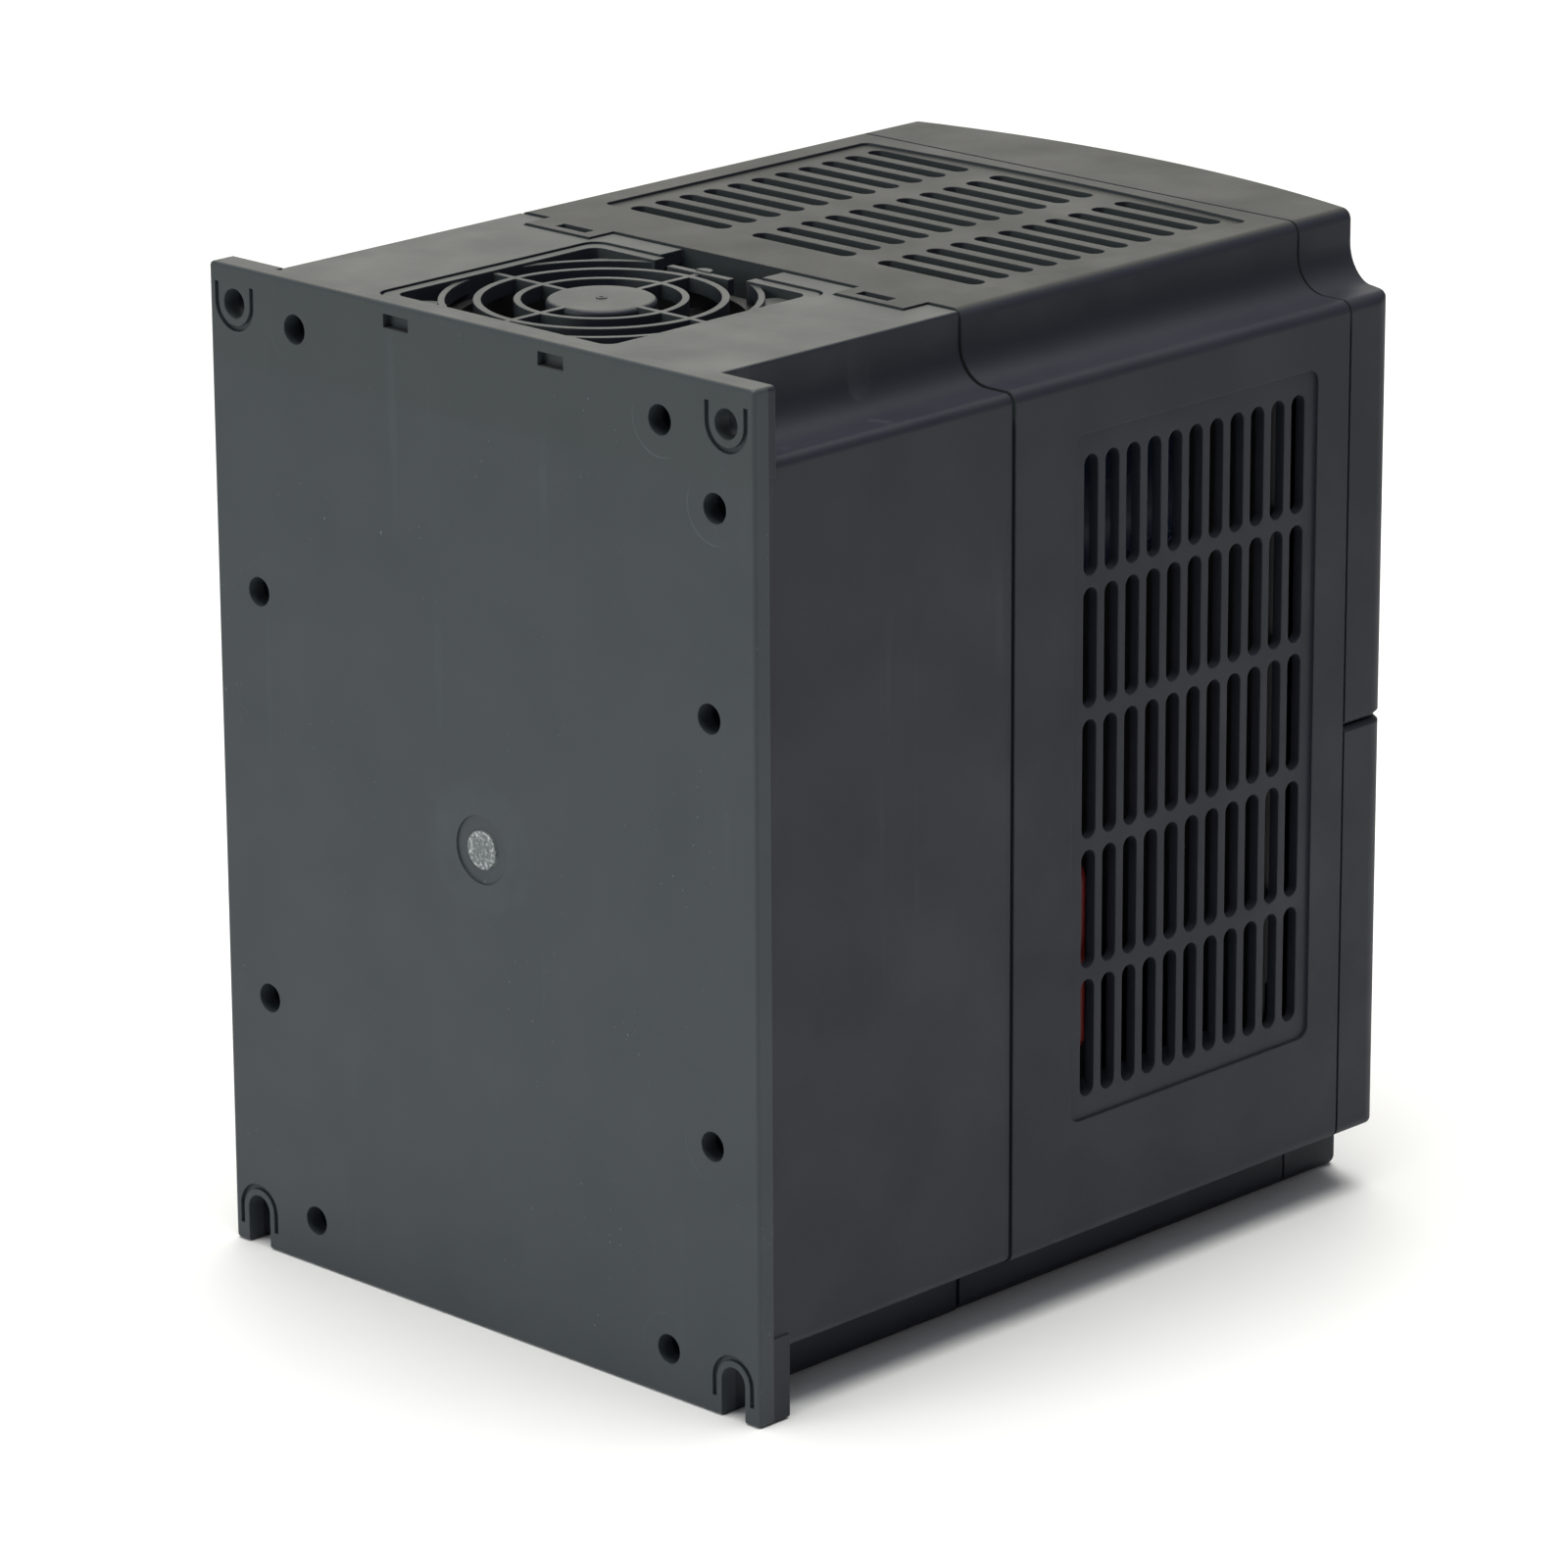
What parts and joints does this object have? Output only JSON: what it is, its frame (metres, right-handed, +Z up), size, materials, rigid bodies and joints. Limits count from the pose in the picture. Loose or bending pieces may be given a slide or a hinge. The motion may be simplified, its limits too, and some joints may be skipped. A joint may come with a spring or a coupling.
{
  "type": "variable frequency drive",
  "caption": "Box-shaped motor inverter drive for wall mounting, with a slotted back plate, vented shell, lift-out top cooling fan, bowed front covers, control keypad, heatsink and terminals.",
  "frame": {"origin": "centre of the back plate's rear face, which is also the centre of the wall mounting pattern", "axes": "+Y out of the back face towards the wall, +Z up along the height, +X across the width; the body reaches forward along -Y"},
  "size_m": [0.125, 0.17, 0.1712],
  "materials": {
    "rear_plastic": "smooth moulded, slightly green dark grey",
    "shell_plastic": "fine moulded grain, blue-black",
    "keypad_plastic": "fine grain black",
    "fan_plastic": "smooth black",
    "component_plastic": "moulded black",
    "terminal_plastic": "glass-filled black",
    "connector_plastic": "natural nylon",
    "green_terminal": "green moulded",
    "board_laminate": "green solder mask",
    "grommet_rubber": "matt black",
    "zinc_steel": "bright zinc plated",
    "black_screw_steel": "dark plated",
    "sink_aluminium": "extruded and machined",
    "can_sleeve": "shrunk film sleeve",
    "copper": "bare copper and brass",
    "iron_core": "sintered and laminated iron",
    "winding_tape": "yellow tape over copper",
    "choke_body": "enamelled copper over a coated ring",
    "film_case": "epoxy-filled yellow case",
    "relay_case": "moulded black",
    "sensor_case": "moulded dark blue",
    "red_insulation": "red PVC",
    "wire_insulation": "black PVC",
    "ribbon_pvc": "grey PVC",
    "window_clear": "clear smoked acrylic",
    "display_face": "dark red filter",
    "led_lens": "diffused red",
    "button_grey": "moulded grey",
    "button_green": "moulded green",
    "button_red": "moulded red",
    "knob_plastic": "moulded black"
  },
  "bodies": {
    "drive": {"rear_housing": "rear_plastic", "rear_screws": "black_screw_steel", "middle_shell": "shell_plastic", "internal_screws": "zinc_steel", "cable_entry_plate": "shell_plastic", "cable_grommets": "grommet_rubber", "heatsink": "sink_aluminium", "igbt_module": "component_plastic", "rectifier_bridge": "component_plastic", "module_screws": "zinc_steel", "module_pins": "copper", "power_board": "board_laminate", "bus_capacitors": "can_sleeve", "transformer_core": "iron_core", "transformer_winding": "winding_tape", "filter_choke": "choke_body", "film_capacitor": "film_case", "precharge_relay": "relay_case", "current_sensors": "sensor_case", "phase_bars": "copper", "main_terminal_block": "terminal_plastic", "terminal_screws": "zinc_steel", "terminal_link": "copper", "dc_lead": "red_insulation", "board_carrier": "component_plastic", "control_board": "board_laminate", "control_terminal_block": "green_terminal", "control_terminal_screws": "zinc_steel", "control_chips": "component_plastic", "keypad_socket": "connector_plastic", "ribbon_cable": "ribbon_pvc", "ribbon_headers": "connector_plastic", "fan_socket": "connector_plastic"},
    "fan_tray": {"fan_guard": "rear_plastic", "fan_frame": "fan_plastic", "fan_stator": "copper", "fan_plug": "connector_plastic", "fan_leads": "wire_insulation"},
    "fan_rotor": {"fan_rotor": "fan_plastic"},
    "upper_cover": {"upper_front_cover": "shell_plastic"},
    "lower_cover": {"lower_front_cover": "shell_plastic", "terminal_cover_screw": "zinc_steel"},
    "keypad": {"keypad_housing": "keypad_plastic", "keypad_back": "keypad_plastic", "display_window": "window_clear", "display_module": "display_face", "keypad_board": "board_laminate", "keypad_plug": "connector_plastic", "tact_switches": "component_plastic", "status_leds": "led_lens", "potentiometer": "component_plastic"},
    "speed_knob": {"speed_knob": "knob_plastic"},
    "program_button": {"program_button": "button_grey"},
    "enter_button": {"enter_button": "button_grey"},
    "up_button": {"up_button": "button_grey"},
    "shift_button": {"shift_button": "button_grey"},
    "jog_button": {"jog_button": "button_grey"},
    "down_button": {"down_button": "button_grey"},
    "run_button": {"run_button": "button_green"},
    "stop_button": {"stop_button": "button_red"}
  },
  "joints": [
    {"name": "fan_tray_lift", "type": "slide", "parent": "drive", "child": "fan_tray", "axis": [0, 0, 1], "range_m": [0, 0.03]},
    {"name": "fan_spin", "type": "hinge", "parent": "fan_tray", "child": "fan_rotor", "pos_m": [0, -0.02875, 0.074], "axis": [0, 0, 1], "continuous": true},
    {"name": "upper_cover_pull", "type": "slide", "parent": "drive", "child": "upper_cover", "axis": [0, -1, 0], "range_m": [0, 0.04]},
    {"name": "lower_cover_pull", "type": "slide", "parent": "drive", "child": "lower_cover", "axis": [0, -1, 0], "range_m": [0, 0.04]},
    {"name": "keypad_pull", "type": "slide", "parent": "upper_cover", "child": "keypad", "axis": [0, -1, 0], "range_m": [0, 0.03]},
    {"name": "speed_knob_turn", "type": "hinge", "parent": "keypad", "child": "speed_knob", "pos_m": [0.021, -0.165, 0.038], "axis": [0, -1, 0], "range_deg": [-150, 150]},
    {"name": "program_press", "type": "slide", "parent": "keypad", "child": "program_button", "axis": [0, 1, 0], "range_m": [0, 0.001], "stiffness_N_per_m": 800, "springref_m": -0.001},
    {"name": "enter_press", "type": "slide", "parent": "keypad", "child": "enter_button", "axis": [0, 1, 0], "range_m": [0, 0.001], "stiffness_N_per_m": 800, "springref_m": -0.001},
    {"name": "up_press", "type": "slide", "parent": "keypad", "child": "up_button", "axis": [0, 1, 0], "range_m": [0, 0.001], "stiffness_N_per_m": 800, "springref_m": -0.001},
    {"name": "shift_press", "type": "slide", "parent": "keypad", "child": "shift_button", "axis": [0, 1, 0], "range_m": [0, 0.001], "stiffness_N_per_m": 800, "springref_m": -0.001},
    {"name": "jog_press", "type": "slide", "parent": "keypad", "child": "jog_button", "axis": [0, 1, 0], "range_m": [0, 0.001], "stiffness_N_per_m": 800, "springref_m": -0.001},
    {"name": "down_press", "type": "slide", "parent": "keypad", "child": "down_button", "axis": [0, 1, 0], "range_m": [0, 0.001], "stiffness_N_per_m": 800, "springref_m": -0.001},
    {"name": "run_press", "type": "slide", "parent": "keypad", "child": "run_button", "axis": [0, 1, 0], "range_m": [0, 0.001], "stiffness_N_per_m": 800, "springref_m": -0.001},
    {"name": "stop_press", "type": "slide", "parent": "keypad", "child": "stop_button", "axis": [0, 1, 0], "range_m": [0, 0.001], "stiffness_N_per_m": 800, "springref_m": -0.001}
  ]
}
